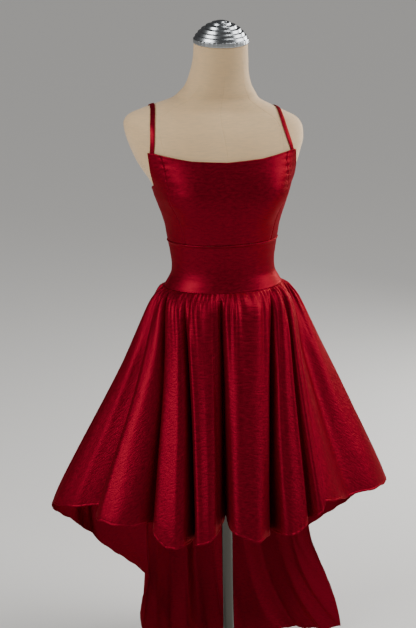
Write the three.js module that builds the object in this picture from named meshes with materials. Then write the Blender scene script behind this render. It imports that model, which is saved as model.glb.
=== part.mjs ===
// A high-low gown worn by a limbless dress form on its stand: fitted bodice on two narrow straps, plain
// waist band, and a gathered skirt that is short in front and falls to the floor behind.
// Millimetres, +Z up. The origin is the middle of the stand's underside, on the floor. The front looks along
// -Y and the wearer's left side is at +X. Angles round the body run from the front (0) over +X (90) to the
// back (180).
import * as THREE from "three";

// ---- driving sizes ----
const WALL = 1.5; // one layer of satin with its seam allowances
const BODY_EASE = 2.2; // air between the form and the cloth
const SEAM_GAP = 0.3; // between neighbouring pieces
const CLOTH_OUT = BODY_EASE + WALL; // outer face of the bodice, off the form

const FORM_FOOT = 820; // height of the form's flat underside
const NECK_TOP = 1486;
const NECK_LEAN = 8; // degrees, forwards
const SHOULDER_TILT = 3; // degrees, the right shoulder the higher one
const WAIST_SEAM = 972; // band to skirt
const BAND_TOP = 1075; // bodice to band
const SIDE = 90; // angle of the side seams
const BACK = 180;

// Sections of the dress form: half width, depth in front of and behind the pole's axis, shift of the middle.
const FORM_SECTIONS = [
  { z: 820, half: 132, front: 88, back: 92, shift: 0, side: 0 },
  { z: 828, half: 143, front: 97, back: 101, shift: 0, side: 0 },
  { z: 850, half: 149, front: 102, back: 107, shift: 0, side: 0 },
  { z: 890, half: 147, front: 102, back: 107, shift: 0, side: 0 },
  { z: 930, half: 138, front: 99, back: 101, shift: 0, side: 0 },
  { z: 972, half: 124.5, front: 94, back: 93, shift: 0, side: 0 },
  { z: 998, half: 111, front: 88, back: 85, shift: 0, side: 0 },
  { z: 1021, half: 108.5, front: 86, back: 81, shift: 0, side: 0 },
  { z: 1045, half: 111, front: 88, back: 81, shift: 0, side: 0 },
  { z: 1075, half: 116, front: 94, back: 84, shift: 0, side: 0 },
  { z: 1110, half: 122, front: 101, back: 89, shift: 0, side: 0 },
  { z: 1140, half: 131, front: 107, back: 94, shift: 0, side: 0 },
  { z: 1170, half: 141, front: 111, back: 98, shift: 2, side: 0 },
  { z: 1197, half: 150, front: 112, back: 99, shift: 5, side: 0 },
  { z: 1219, half: 162, front: 114, back: 97, shift: 9, side: -2 },
  { z: 1240, half: 173, front: 115, back: 93, shift: 13, side: -4 },
  { z: 1262, half: 182, front: 114, back: 89, shift: 16, side: -6 },
  { z: 1285, half: 190, front: 110, back: 82, shift: 19, side: -8 },
  { z: 1305, half: 193, front: 103, back: 75, shift: 22, side: -10 },
  { z: 1320, half: 191, front: 94, back: 66, shift: 24, side: -11 },
  { z: 1334, half: 179, front: 82, back: 57, shift: 24, side: -11 },
  { z: 1346, half: 153, front: 72, back: 52, shift: 23, side: -10 },
  { z: 1359, half: 120, front: 66, back: 49, shift: 20, side: -8 },
  { z: 1371, half: 93, front: 62, back: 50, shift: 16, side: -6 },
  { z: 1384, half: 81, front: 60, back: 53, shift: 11, side: -4 },
  { z: 1398, half: 71, front: 58, back: 55, shift: 6, side: -3 },
  { z: 1421, half: 63, front: 57, back: 57, shift: 0, side: -2 },
  { z: 1452, half: 58, front: 56, back: 56, shift: -8, side: 0 },
  { z: 1486, half: 56, front: 55, back: 55, shift: -15, side: 0 },
];
const BUST = { at: 37, z: 1180, rise: 17, spread: 17, tall: 40 }; // a soft swelling on each side

// Princess seams: angle of the seam line at each height.
const PRINCESS = [
  { z: 1075, at: 49.8 },
  { z: 1130, at: 52 },
  { z: 1180, at: 52 },
  { z: 1240, at: 46 },
  { z: 1270, at: 46 },
];
// Top edge of the bodice: neckline, strap corner, armhole, straight back.
const TOP_EDGE = [
  { at: 0, z: 1250 },
  { at: 24, z: 1254 },
  { at: 51, z: 1267 },
  { at: 57.5, z: 1267 },
  { at: 61, z: 1243 },
  { at: 67, z: 1219 },
  { at: 75, z: 1199 },
  { at: 90, z: 1189 },
  { at: 130, z: 1187 },
  { at: 180, z: 1190 },
];
const STRAP = { width: 10, thick: 1.6, ease: 0.9, footGap: 0.5, frontX: 149, ridgeZ: 1353.5, backX: 104 };

// ---- the skirt's folds ----
// One row for each fold, crest and hollow in turn, from the right side seam round the front and back again.
// waist: angle on the waist seam; knee and kneeR: angle and distance from the axis at knee height;
// foot and footR: the same at the foot of the tail; hem: height of the hem;
// tight: how narrow a hollow is, from 0 (round) to 1 (a sharp gap), where it isn't TIGHT.
const KNEE = 480;
const TIGHT = 0.6;
const FOLDS = [
  { name: "right side crest", waist: -91, knee: -90, kneeR: 408, foot: -90, footR: 408, hem: 488 },
  { name: "right hollow", waist: -84, knee: -73, kneeR: 314, foot: -73, footR: 314, hem: 510, tight: 0.5 },
  { name: "first crest", waist: -77, knee: -61.5, kneeR: 366, foot: -61.5, footR: 366, hem: 509 },
  { name: "first hollow", waist: -69, knee: -46, kneeR: 250, foot: -46, footR: 250, hem: 500, tight: 1 },
  { name: "second crest", waist: -57, knee: -36, kneeR: 302, foot: -36, footR: 302, hem: 466 },
  { name: "second hollow", waist: -45, knee: -27, kneeR: 204, foot: -27, footR: 204, hem: 470, tight: 1 },
  { name: "third crest", waist: -28, knee: -18, kneeR: 286, foot: -18, footR: 286, hem: 482 },
  { name: "mid hollow", waist: -10, knee: -11.5, kneeR: 176, foot: -11.5, footR: 176, hem: 504, tight: 1 },
  { name: "mid crest", waist: 15, knee: 2, kneeR: 287, foot: 2, footR: 287, hem: 479 },
  { name: "fifth hollow", waist: 40, knee: 13, kneeR: 204, foot: 13, footR: 204, hem: 478, tight: 1 },
  { name: "fifth crest", waist: 47, knee: 20.5, kneeR: 289, foot: 20.5, footR: 289, hem: 482 },
  { name: "sixth hollow", waist: 54, knee: 30.5, kneeR: 258, foot: 30.5, footR: 258, hem: 500, tight: 1 },
  { name: "sixth crest", waist: 62, knee: 35, kneeR: 308, foot: 35, footR: 308, hem: 534 },
  { name: "left hollow", waist: 74, knee: 55, kneeR: 312, foot: 55, footR: 312, hem: 512, tight: 0.1 },
  { name: "left side crest", waist: 90, knee: 81, kneeR: 380, foot: 81, footR: 380, hem: 500 },
  { name: "left rear hollow", waist: 101, knee: 94, kneeR: 338, foot: 94, footR: 338, hem: 462, tight: 0.3 },
  { name: "left rear crest", waist: 112, knee: 106, kneeR: 338, foot: 106, footR: 338, hem: 392 },
  { name: "left tail gap", waist: 124, knee: 123, kneeR: 276, foot: 123, footR: 274, hem: 298, tight: 0.3 },
  { name: "left tail crest", waist: 132, knee: 132, kneeR: 244, foot: 115, footR: 350, hem: 16 },
  { name: "ninth hollow", waist: 141, knee: 141, kneeR: 234, foot: 119, footR: 306, hem: 12, tight: 0.1 },
  { name: "ninth crest", waist: 151, knee: 151, kneeR: 240, foot: 130, footR: 276, hem: 10 },
  { name: "tenth hollow", waist: 160.5, knee: 161, kneeR: 212, foot: 140, footR: 226, hem: 10, tight: 0.1 },
  { name: "tenth crest", waist: 170, knee: 169, kneeR: 226, foot: 155, footR: 214, hem: 10 },
  { name: "middle back hollow", waist: 180, knee: 180, kneeR: 208, foot: 172, footR: 190, hem: 10, tight: 0.1 },
  { name: "eleventh crest", waist: 190, knee: 191, kneeR: 226, foot: 185, footR: 212, hem: 10 },
  { name: "eleventh hollow", waist: 199.5, knee: 200, kneeR: 200, foot: 200, footR: 200, hem: 10, tight: 0.1 },
  { name: "twelfth crest", waist: 209, knee: 210, kneeR: 226, foot: 208, footR: 240, hem: 10 },
  { name: "twelfth hollow", waist: 219, knee: 219, kneeR: 222, foot: 214, footR: 258, hem: 12, tight: 0.1 },
  { name: "right tail crest", waist: 228, knee: 227, kneeR: 228, foot: 217.5, footR: 292, hem: 20 },
  { name: "right tail gap", waist: 236, knee: 237, kneeR: 208, foot: 227, footR: 226, hem: 204, tight: 0.3 },
  { name: "right rear crest", waist: 248, knee: 247, kneeR: 330, foot: 247, footR: 326, hem: 344 },
  { name: "right rear hollow", waist: 259, knee: 258, kneeR: 348, foot: 258, footR: 344, hem: 396, tight: 0.2 },
  { name: "right side crest again", waist: 269, knee: 270, kneeR: 408, foot: 270, footR: 408, hem: 488 },
];
const RIGHT_SIDE_ROW = 0;
const LEFT_SIDE_ROW = 14;
const MIDDLE_BACK_ROW = 23;
// The gathers push the skirt out just under the band. The push fades down the skirt: fast on the right side
// (power fade + lean), slowly on the left (fade - lean).
const PUFF = { crest: 25, hollow: 9, over: 18, fade: 2.5, lean: 1.5 };
const KNEE_SOFT = 0.05; // how softly a fold turns from flaring to hanging
const TAIL_BEND = 3; // how late the tail's folds swing from their knee place to their foot place
const GATHER = { every: 6, rise: 1.7, fade: 24 }; // degrees of waist for each gather, height, fading depth
const GATHERED_DROPS = [SEAM_GAP, 9, 26]; // rows with a column for each gather face
const FIRST_PLAIN_DROP = 48;
const PLAIN_ROWS = 11;
const COLUMNS_TO_FOLD = 4; // between a crest and the next hollow
const COLUMNS_TO_GATHER = 4;

// ---- small helpers ----
const rad = THREE.MathUtils.degToRad;
const lerp = THREE.MathUtils.lerp;

// Smooth curve through the rows of a table: cubic between rows, with slopes from the neighbours.
function along(table, key, value, x) {
  const last = table.length - 1;
  let i = 0;
  while (i < last - 1 && table[i + 1][key] < x) i++;
  const slope = (j) => {
    const a = table[Math.max(j - 1, 0)];
    const b = table[Math.min(j + 1, last)];
    return (b[value] - a[value]) / (b[key] - a[key]);
  };
  const from = table[i];
  const to = table[i + 1];
  const width = to[key] - from[key];
  const t = THREE.MathUtils.clamp((x - from[key]) / width, 0, 1);
  const t2 = t * t;
  const t3 = t2 * t;
  return (
    (2 * t3 - 3 * t2 + 1) * from[value] +
    (t3 - 2 * t2 + t) * width * slope(i) +
    (3 * t2 - 2 * t3) * to[value] +
    (t3 - t2) * width * slope(i + 1)
  );
}

// Straight lines through the rows of a table.
function straight(table, key, value, x) {
  const last = table.length - 1;
  let i = 0;
  while (i < last - 1 && table[i + 1][key] < x) i++;
  const t = (x - table[i][key]) / (table[i + 1][key] - table[i][key]);
  return lerp(table[i][value], table[i + 1][value], THREE.MathUtils.clamp(t, 0, 1));
}

// Outward unit vector of a surface(u, v) whose u runs round the body and whose v runs down it.
function outward(surface, u, v, du, dv) {
  const across = surface(u + du, v).sub(surface(u - du, v));
  const down = surface(u, v + dv).sub(surface(u, v - dv));
  return down.cross(across).normalize();
}

// A closed wall of cloth. rows is a list of { v, us }: each row's columns may differ in number. The outer
// face is the surface itself, the inner face lies WALL behind it, and both side edges stand back half a gap.
function clothPanel(name, material, surface, rows, step = { u: 1e-3, v: 1e-3 }) {
  const points = [];
  const faces = [];
  const place = (p) => points.push(p.x, p.y, p.z) / 3 - 1;
  const outer = [];
  const inner = [];
  for (const { v, us } of rows) {
    const drop = (u) => (typeof v === "function" ? v(u) : v);
    outer.push([]);
    inner.push([]);
    us.forEach((u, j) => {
      const p = surface(u, drop(u));
      const n = outward(surface, u, drop(u), step.u, step.v);
      const side = j === 0 ? 1 : j === us.length - 1 ? -1 : 0;
      if (side) {
        const ahead = surface(u + step.u, drop(u)).sub(surface(u - step.u, drop(u)));
        p.addScaledVector(ahead.normalize(), (side * SEAM_GAP) / 2);
      }
      outer.at(-1).push({ u, i: place(p) });
      inner.at(-1).push({ u, i: place(p.clone().addScaledVector(n, -WALL)) });
    });
  }
  // A strip of triangles between two rows, walking along both at once.
  const strip = (above, below, flip) => {
    let a = 0;
    let b = 0;
    while (a < above.length - 1 || b < below.length - 1) {
      const nextA = a < above.length - 1 ? above[a + 1].u : Infinity;
      const nextB = b < below.length - 1 ? below[b + 1].u : Infinity;
      const corner = nextA <= nextB ? above[a + 1] : below[b + 1];
      const face = [above[a].i, below[b].i, corner.i];
      if (nextA <= nextB) a++;
      else b++;
      faces.push(...(flip ? face.reverse() : face));
    }
  };
  for (let r = 0; r + 1 < rows.length; r++) {
    strip(outer[r], outer[r + 1], false);
    strip(inner[r], inner[r + 1], true);
  }
  strip(inner[0], outer[0], false);
  strip(outer.at(-1), inner.at(-1), false);
  const edge = (list, end) => list.map((row, r) => ({ u: r, i: row.at(end).i }));
  strip(edge(outer, 0), edge(inner, 0), false);
  strip(edge(inner, -1), edge(outer, -1), false);
  return closedMesh(name, material, points, faces);
}

function closedMesh(name, material, points, faces) {
  const geometry = new THREE.BufferGeometry();
  geometry.setAttribute("position", new THREE.Float32BufferAttribute(points, 3));
  geometry.setIndex(faces);
  geometry.computeVertexNormals();
  const mesh = new THREE.Mesh(geometry, material);
  mesh.name = name;
  return mesh;
}

const evenly = (from, to, count) => Array.from({ length: count + 1 }, (_, k) => lerp(from, to, k / count));

// ---- materials ----
const finish = (color, roughness, metalness) =>
  new THREE.MeshStandardMaterial({ color, roughness, metalness });
const satin = finish(0x8a0a18, 0.42, 0);
const linen = finish(0xb5a68c, 0.9, 0);
const chrome = finish(0xc8cacc, 0.12, 1);
const steel = finish(0x8f8b86, 0.3, 1);

// ---- the body that everything is worked out from ----
// The form's skin at an angle (degrees) and a height.
function formSkin(angle, z) {
  const a = rad(angle);
  const half = along(FORM_SECTIONS, "z", "half", z);
  const front = along(FORM_SECTIONS, "z", "front", z);
  const back = along(FORM_SECTIONS, "z", "back", z);
  const shift = along(FORM_SECTIONS, "z", "shift", z);
  const side = along(FORM_SECTIONS, "z", "side", z);
  const turned = Math.abs(((angle + 180) % 360 + 360) % 360 - 180);
  const bust =
    BUST.rise *
    Math.exp(-0.5 * ((turned - BUST.at) / BUST.spread) ** 2 - 0.5 * ((z - BUST.z) / BUST.tall) ** 2);
  const depth = Math.cos(a) > 0 ? front : back;
  const x = (half + bust) * Math.sin(a);
  const y = -(depth + bust) * Math.cos(a);
  const leaning = THREE.MathUtils.smoothstep(z, 1384, NECK_TOP) * Math.tan(rad(NECK_LEAN));
  const tilting = THREE.MathUtils.smoothstep(z, 1240, 1310) - THREE.MathUtils.smoothstep(z, 1350, 1430);
  const lift = y * leaning - x * tilting * Math.tan(rad(SHOULDER_TILT));
  return new THREE.Vector3(x + side, y + shift, z + lift);
}

// The same skin lifted along its normal.
function overForm(angle, z, lift) {
  const down = (u, v) => formSkin(u, -v);
  return formSkin(angle, z).addScaledVector(outward(down, angle, -z, 0.05, 0.05), lift);
}

// ---- dress form and stand ----
function dressForm() {
  const around = 28;
  const heights = [
    820, 828, 850, 890, 930, 972, 998, 1021, 1045, 1075, 1110, 1140, 1160, 1180, 1197, 1219, 1240, 1262,
    1285, 1305, 1320, 1334, 1346, 1359, 1371, 1384, 1398, 1421, 1452, NECK_TOP,
  ];
  const points = [];
  const faces = [];
  for (const z of heights)
    for (let j = 0; j < around; j++) points.push(...formSkin((360 * j) / around, z).toArray());
  const ring = (r, j) => r * around + (j % around);
  for (let r = 0; r + 1 < heights.length; r++)
    for (let j = 0; j < around; j++) {
      faces.push(ring(r, j), ring(r, j + 1), ring(r + 1, j + 1));
      faces.push(ring(r, j), ring(r + 1, j + 1), ring(r + 1, j));
    }
  const top = heights.length - 1;
  for (let j = 1; j + 1 < around; j++) {
    faces.push(ring(0, 0), ring(0, j + 1), ring(0, j));
    faces.push(ring(top, 0), ring(top, j), ring(top, j + 1));
  }
  return closedMesh("form_torso", linen, points, faces);
}

// A turned piece standing on +Z from a profile of [radius, height] pairs that starts and ends on the axis.
function turned(name, material, profile, around) {
  const shape = profile.map(([r, z]) => new THREE.Vector2(r, z));
  const geometry = new THREE.LatheGeometry(shape, around);
  geometry.rotateX(Math.PI / 2);
  const mesh = new THREE.Mesh(geometry, material);
  mesh.name = name;
  return mesh;
}

// Stepped cap that closes the neck: an upright rim, then tiers that shrink to a small flat button.
function neckCap() {
  const RIM = { radius: 57.5, height: 10 };
  const TIERS = [
    { radius: 53, top: 17 },
    { radius: 47.5, top: 24 },
    { radius: 40.5, top: 31 },
    { radius: 31, top: 37.5 },
    { radius: 19, top: 43 },
    { radius: 10, top: 45.5 },
  ];
  const STEP = 2.2;
  const profile = [
    [0, 0],
    [RIM.radius - 1, 0],
    [RIM.radius, 1.5],
    [RIM.radius, RIM.height],
  ];
  let floor = RIM.height;
  for (const tier of TIERS) {
    profile.push([tier.radius + STEP, floor]);
    profile.push([tier.radius, tier.top]);
    floor = tier.top;
  }
  profile.push([0, floor]);
  const cap = turned("neck_cap", chrome, profile, 28);
  const seat = along(FORM_SECTIONS, "z", "shift", NECK_TOP);
  cap.rotation.x = rad(NECK_LEAN);
  cap.position.set(0, seat, NECK_TOP + SEAM_GAP / Math.cos(rad(NECK_LEAN)));
  return cap;
}

const BASE = { radius: 140, edge: 5, crown: 12, collar: 21, collarTop: 46 };
const POLE_RADIUS = 12.5;

function stand() {
  const profile = [
    [0, 0],
    [BASE.radius - 2, 0],
    [BASE.radius, 2],
    [BASE.radius, BASE.edge],
    [BASE.radius - 6, BASE.edge + 3],
    [BASE.collar + 8, BASE.crown],
    [BASE.collar, BASE.crown + 5],
    [BASE.collar, BASE.collarTop - 2],
    [BASE.collar - 2, BASE.collarTop],
    [0, BASE.collarTop],
  ];
  const foot = BASE.collarTop + SEAM_GAP;
  const head = FORM_FOOT - SEAM_GAP;
  const poleProfile = [
    [0, foot],
    [POLE_RADIUS, foot],
    [POLE_RADIUS, head],
    [0, head],
  ];
  return [turned("stand_base", steel, profile, 40), turned("stand_pole", steel, poleProfile, 20)];
}

// ---- bodice and band ----
// Height of the bodice's top edge above a point that lies a share u of the way between two seam lines.
function topHeight(angleAt, u) {
  let z = 1230;
  for (let k = 0; k < 12; k++) z = lerp(z, straight(TOP_EDGE, "at", "z", Math.abs(angleAt(u, z))), 0.6);
  return z;
}

// A bodice panel between two seam lines, from the top edge down to the band. from and to turn a height into
// the angle of their seam.
function bodicePanel(name, from, to, columns, rowCount) {
  const angleAt = (u, z) => lerp(from(z), to(z), u);
  const surface = (u, v) => {
    const low = BAND_TOP + SEAM_GAP / 2;
    const z = lerp(topHeight(angleAt, THREE.MathUtils.clamp(u, 0, 1)), low, v);
    return overForm(angleAt(u, z), z, CLOTH_OUT);
  };
  const rows = evenly(0, 1, rowCount).map((v) => ({ v, us: columns }));
  return clothPanel(name, satin, surface, rows, { u: 1e-3, v: 1e-3 });
}

function bodice() {
  const princess = (sign) => (z) => sign * along(PRINCESS, "z", "at", z);
  const side = (sign) => () => sign * SIDE;
  const sideColumns = [0, 0.114, 0.26, 0.341, 0.477, 0.66, 0.82, 1];
  const mirrored = sideColumns.map((u) => 1 - u).reverse();
  return [
    bodicePanel("bodice_front_centre", princess(-1), princess(1), evenly(0, 1, 14), 9),
    bodicePanel("bodice_front_side_right", side(-1), princess(-1), mirrored, 9),
    bodicePanel("bodice_front_side_left", princess(1), side(1), sideColumns, 9),
    bodicePanel("bodice_back_left", side(1), () => BACK, evenly(0, 1, 9), 6),
    bodicePanel("bodice_back_right", () => -BACK, side(-1), evenly(0, 1, 9), 6),
  ];
}

// A band panel between two angles, from the bodice seam down to the waist seam.
function bandPanel(name, from, to, columns) {
  const top = BAND_TOP - SEAM_GAP / 2;
  const surface = (u, v) => {
    const z = lerp(top, WAIST_SEAM, v);
    return overForm(lerp(from, to, u), z, CLOTH_OUT);
  };
  const rows = evenly(0, 1, 5).map((v) => ({ v, us: evenly(0, 1, columns) }));
  return clothPanel(name, satin, surface, rows, { u: 1e-3, v: 1e-3 });
}

function band() {
  return [
    bandPanel("band_front", -SIDE, SIDE, 20),
    bandPanel("band_back_left", SIDE, BACK, 10),
    bandPanel("band_back_right", -BACK, -SIDE, 10),
  ];
}

// ---- straps ----
// A flat strip that climbs the chest, crosses the shoulder and comes down the back. side is 1 or -1.
function strap(name, side) {
  const halfAt = (z) => along(FORM_SECTIONS, "z", "half", z);
  const onForm = (x, z) => THREE.MathUtils.radToDeg(Math.asin(Math.min(1, x / halfAt(z))));
  const frontFoot = straight(TOP_EDGE, "at", "z", 55) + STRAP.footGap;
  const backFoot = straight(TOP_EDGE, "at", "z", 140) + STRAP.footGap;
  const ridgeX = halfAt(STRAP.ridgeZ);
  const stations = 14;
  const path = [];
  for (let k = 0; k <= stations; k++) {
    const climb = Math.sin((k / stations) * (Math.PI / 2)) ** 0.8;
    const z = lerp(frontFoot, STRAP.ridgeZ, climb);
    path.push([onForm(lerp(STRAP.frontX, ridgeX, climb), z), z]);
  }
  for (let k = stations - 1; k >= 0; k--) {
    const climb = Math.sin((k / stations) * (Math.PI / 2)) ** 0.8;
    const z = lerp(backFoot, STRAP.ridgeZ, climb);
    path.push([180 - onForm(lerp(STRAP.backX, ridgeX, climb), z), z]);
  }
  const down = (u, v) => formSkin(u, -v);
  const middle = path.map(([angle, z]) => overForm(side * angle, z, STRAP.ease));
  const normal = path.map(([angle, z]) => outward(down, side * angle, -z, 0.05, 0.05));
  const points = [];
  const faces = [];
  path.forEach((_, k) => {
    const next = middle[Math.min(k + 1, path.length - 1)];
    const ahead = next.clone().sub(middle[Math.max(k - 1, 0)]).normalize();
    const out = normal[k].addScaledVector(ahead, -normal[k].dot(ahead)).normalize();
    const across = new THREE.Vector3().crossVectors(ahead, out);
    if (k === 0 || k === path.length - 1) {
      // Both ends are cut level with the bodice's top edge.
      const [angle, z] = path[k];
      const level = formSkin(side * angle + 1, z).sub(formSkin(side * angle - 1, z)).normalize();
      across.copy(level).multiplyScalar(Math.sign(level.dot(across)));
    }
    across.multiplyScalar(STRAP.width / 2);
    for (const [w, t] of [[-1, 0], [1, 0], [1, 1], [-1, 1]]) {
      const p = middle[k].clone().addScaledVector(across, w).addScaledVector(out, t * STRAP.thick);
      points.push(p.x, p.y, p.z);
    }
  });
  for (let k = 0; k + 1 < path.length; k++)
    for (let c = 0; c < 4; c++) {
      const a = 4 * k + c;
      const b = 4 * k + ((c + 1) % 4);
      faces.push(a, a + 4, b + 4, a, b + 4, b);
    }
  const end = 4 * (path.length - 1);
  faces.push(0, 1, 2, 0, 2, 3);
  faces.push(end, end + 2, end + 1, end, end + 3, end + 2);
  return closedMesh(name, satin, points, faces);
}

// ---- skirt ----
// Rounds the fold table into a curve. u is a place in the table: 2.25 is a quarter of the way from row 2 to
// row 3.
function foldAt(u) {
  const i = THREE.MathUtils.clamp(Math.floor(u), 0, FOLDS.length - 2);
  const t = u - i;
  const crestFirst = i % 2 === 0;
  const [crest, hollow] = crestFirst ? [FOLDS[i], FOLDS[i + 1]] : [FOLDS[i + 1], FOLDS[i]];
  const turn = (crestFirst ? t : 1 - t) * (Math.PI / 2);
  const tight = hollow.tight ?? TIGHT;
  const towards = lerp(turn / (Math.PI / 2), Math.sin(turn), 0.75 * tight);
  const height = lerp(Math.cos(turn) ** 2, Math.cos(turn), tight);
  const mix = (key) => lerp(crest[key], hollow[key], towards);
  const reach = (key) => lerp(hollow[key], crest[key], height);
  return {
    waist: mix("waist"),
    knee: mix("knee"),
    kneeR: reach("kneeR"),
    foot: mix("foot"),
    footR: reach("footR"),
    hem: mix("hem"),
    puff: lerp(PUFF.hollow, PUFF.crest, height),
    ripple: Math.cos(2 * Math.PI * gathersIn(i) * t),
  };
}

function gathersIn(i) {
  return Math.max(1, Math.round((FOLDS[i + 1].waist - FOLDS[i].waist) / GATHER.every));
}

const polar = (angle, out) => new THREE.Vector3(out * Math.sin(rad(angle)), -out * Math.cos(rad(angle)), 0);

function skirtSurface(u, drop) {
  const fold = foldAt(u);
  const waist = overForm(fold.waist, WAIST_SEAM, CLOTH_OUT);
  const out = new THREE.Vector3(waist.x, waist.y, 0).normalize();
  const knee = polar(fold.knee, fold.kneeR);
  const foot = polar(fold.foot, fold.footR);
  const share = drop / (WAIST_SEAM - KNEE);
  const flare = share - KNEE_SOFT * Math.log1p(Math.exp((share - 1) / KNEE_SOFT));
  const hang = THREE.MathUtils.clamp((KNEE - (WAIST_SEAM - drop)) / (KNEE - fold.hem || 1), 0, 1) || 0;
  const fade = PUFF.fade - PUFF.lean * Math.sin(rad(fold.waist));
  const puff = fold.puff * (1 - Math.exp(-drop / PUFF.over)) * Math.max(0, 1 - share) ** fade;
  const ripple = GATHER.rise * fold.ripple * Math.exp(-drop / GATHER.fade) * Math.min(1, drop / 4);
  const p = new THREE.Vector3(waist.x, waist.y, 0).multiplyScalar(1 - flare).addScaledVector(knee, flare);
  if (fold.hem < KNEE) p.addScaledVector(foot.sub(knee), hang ** TAIL_BEND);
  p.addScaledVector(out, puff + ripple);
  p.z = WAIST_SEAM - drop;
  return p;
}

// The rows and columns of a skirt panel between two rows of the fold table.
function skirtPanel(name, firstRow, lastRow) {
  const gathered = [firstRow];
  const plain = [firstRow];
  for (let i = firstRow; i < lastRow; i++) {
    const fine = gathersIn(i) * COLUMNS_TO_GATHER;
    for (let k = 1; k <= fine; k++) gathered.push(i + k / fine);
    for (let k = 1; k <= COLUMNS_TO_FOLD; k++) plain.push(i + k / COLUMNS_TO_FOLD);
  }
  const rows = GATHERED_DROPS.map((v) => ({ v, us: gathered }));
  for (let k = 0; k <= PLAIN_ROWS; k++) {
    const v = (u) => lerp(FIRST_PLAIN_DROP, WAIST_SEAM - foldAt(u).hem, k / PLAIN_ROWS);
    rows.push({ v, us: plain });
  }
  return clothPanel(name, satin, skirtSurface, rows, { u: 1e-4, v: 1e-2 });
}

function skirt() {
  return [
    skirtPanel("skirt_front", RIGHT_SIDE_ROW, LEFT_SIDE_ROW),
    skirtPanel("skirt_back_left", LEFT_SIDE_ROW, MIDDLE_BACK_ROW),
    skirtPanel("skirt_back_right", MIDDLE_BACK_ROW, FOLDS.length - 1),
  ];
}

// ---- the whole object ----
const gown = new THREE.Group();
gown.add(dressForm(), neckCap(), ...stand());
gown.add(...bodice(), ...band(), strap("strap_left", 1), strap("strap_right", -1), ...skirt());

export default gown;
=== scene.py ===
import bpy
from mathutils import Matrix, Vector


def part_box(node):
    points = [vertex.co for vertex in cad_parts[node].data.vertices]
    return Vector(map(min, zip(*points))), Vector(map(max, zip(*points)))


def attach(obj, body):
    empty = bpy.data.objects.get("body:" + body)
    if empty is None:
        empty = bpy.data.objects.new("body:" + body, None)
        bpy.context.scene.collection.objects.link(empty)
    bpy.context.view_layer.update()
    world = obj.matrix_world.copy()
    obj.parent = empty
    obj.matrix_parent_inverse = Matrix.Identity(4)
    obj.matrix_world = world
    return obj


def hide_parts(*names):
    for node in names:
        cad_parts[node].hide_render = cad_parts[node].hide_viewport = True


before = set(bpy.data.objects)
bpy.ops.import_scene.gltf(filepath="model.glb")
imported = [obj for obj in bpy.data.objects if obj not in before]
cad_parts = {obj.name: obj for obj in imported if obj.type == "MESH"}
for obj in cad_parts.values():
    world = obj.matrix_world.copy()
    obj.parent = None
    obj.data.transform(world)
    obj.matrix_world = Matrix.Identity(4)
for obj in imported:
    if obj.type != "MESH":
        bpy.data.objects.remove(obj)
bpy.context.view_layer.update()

import math

import bpy
import numpy as np
from mathutils import Matrix, Vector

# ---- Studio: floor, light and camera ----
# A pale painted floor under a pale room. A soft skylight falls from the front right, two softboxes at the
# sides make the satin gleam, and a tall strip at the right rear lights the gown's edge. Left and right are
# the camera's, which stands a little to the gown's right and above its shoulders.


def from_hex(colour):
    """A colour written as sRGB hex, turned to linear red, green, blue and alpha."""
    parts = np.array([int(colour[i:i + 2], 16) for i in (1, 3, 5)]) / 255
    linear = np.where(parts <= 0.04045, parts / 12.92, ((parts + 0.055) / 1.055) ** 2.4)
    return (*(float(c) for c in linear), 1.0)


def new_material(name):
    """An empty material and its Principled shader, joined to the output."""
    material = bpy.data.materials.new(name)
    material.use_nodes = True
    return material, material.node_tree.nodes["Principled BSDF"]


# Floor paint: pale and matt, with only a faint broad sheen.
floor_paint, shader = new_material("pale_floor_paint")
shader.inputs["Base Color"].default_value = from_hex("#cfcdc9")
shader.inputs["Roughness"].default_value = 0.75
FLOOR_HALF = 90.0  # metres, so far that its edge never shows
floor_mesh = bpy.data.meshes.new("studio_floor")
floor_corners = [(-FLOOR_HALF, -FLOOR_HALF, 0), (FLOOR_HALF, -FLOOR_HALF, 0), (FLOOR_HALF, FLOOR_HALF, 0),
                 (-FLOOR_HALF, FLOOR_HALF, 0)]
floor_mesh.from_pydata(floor_corners, [], [(0, 1, 2, 3)])
floor_mesh.materials.append(floor_paint)
floor = bpy.data.objects.new("studio_floor", floor_mesh)
bpy.context.scene.collection.objects.link(floor)

room = bpy.data.worlds.new("pale_room")
room.use_nodes = True
room.node_tree.nodes["Background"].inputs["Color"].default_value = from_hex("#dcdcdf")
room.node_tree.nodes["Background"].inputs["Strength"].default_value = 0.1
bpy.context.scene.world = room

LAMPS = [
    # name, place, what it lights, width and height, watts
    ("left_softbox", (-2.4, -1.2, 2.2), (0.0, 0.0, 0.8), (1.7, 1.5), 80),
    ("right_softbox", (2.7, -0.4, 2.0), (0.0, 0.0, 0.6), (1.8, 1.6), 72),
    ("rear_strip", (2.1, 1.5, 1.8), (0.1, 0.0, 0.6), (0.6, 1.8), 66),
]
for lamp_name, lamp_place, target, (wide, tall), watts in LAMPS:
    lamp_data = bpy.data.lights.new(lamp_name, "AREA")
    lamp_data.shape = "RECTANGLE"
    lamp_data.size, lamp_data.size_y = wide, tall
    lamp_data.energy = watts
    lamp = bpy.data.objects.new(lamp_name, lamp_data)
    lamp.location = lamp_place
    lamp.rotation_euler = (Vector(target) - Vector(lamp_place)).to_track_quat("-Z", "Y").to_euler()
    bpy.context.scene.collection.objects.link(lamp)

skylight = bpy.data.objects.new("skylight", bpy.data.lights.new("skylight", "SUN"))
skylight.data.energy = 1.9
skylight.data.angle = math.radians(25)
light_falls = Vector((-0.6, 0.42, -1.15))
skylight.rotation_euler = light_falls.to_track_quat("-Z", "Y").to_euler()
bpy.context.scene.collection.objects.link(skylight)

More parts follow.
